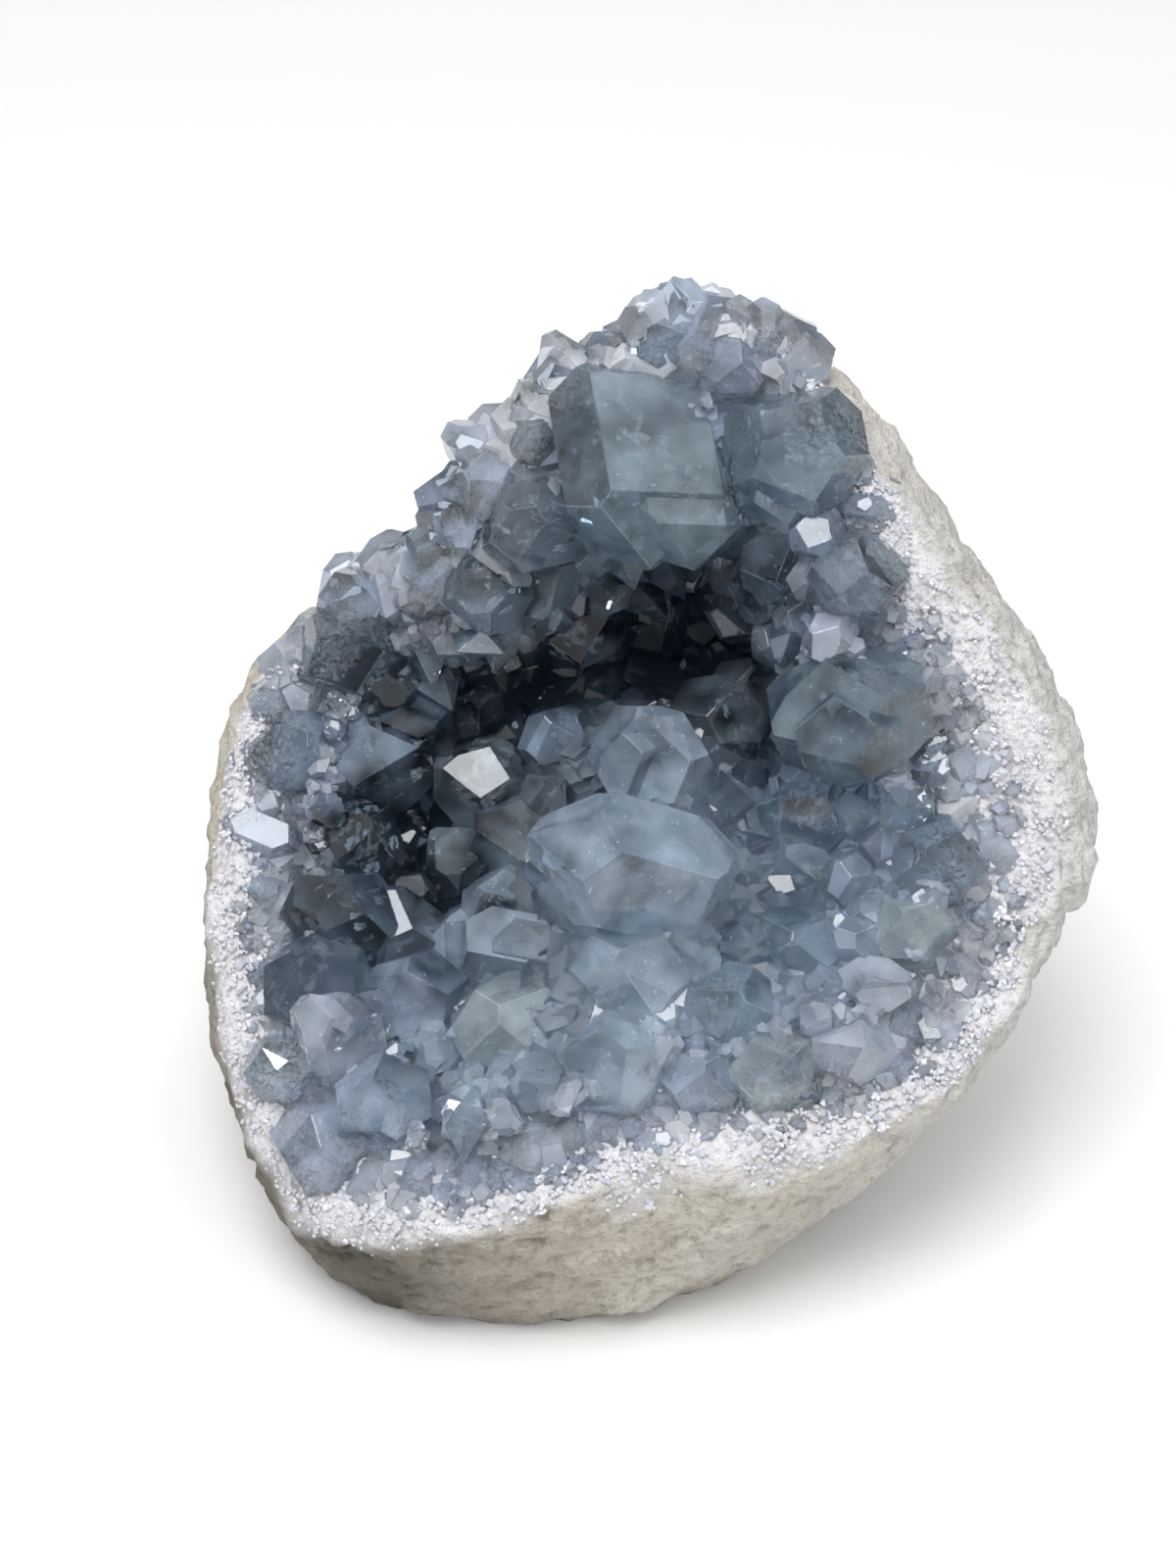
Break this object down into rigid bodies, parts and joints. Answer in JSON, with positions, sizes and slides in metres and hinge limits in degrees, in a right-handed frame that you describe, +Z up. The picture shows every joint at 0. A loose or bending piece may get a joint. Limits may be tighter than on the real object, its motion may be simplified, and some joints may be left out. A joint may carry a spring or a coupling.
{
  "type": "celestite cluster",
  "caption": "Limestone nodule broken open on one side, its hollow lined with a crust of blue celestite crystals, standing on a flat base.",
  "frame": {"origin": "middle of the object's bounding box at its flat base, z = 0", "axes": "+Z up, the open hollow faces -Y and 38 degrees up, +X to the right as seen from the front"},
  "size_m": [0.1464, 0.1256, 0.1402],
  "materials": {
    "limestone": "dull, granular, pale grey to cream",
    "celestite": "vitreous, clear to milky, grey blue"
  },
  "bodies": {
    "root": {"limestone_matrix": "limestone", "crystal_crust": "celestite"}
  },
  "joints": []
}
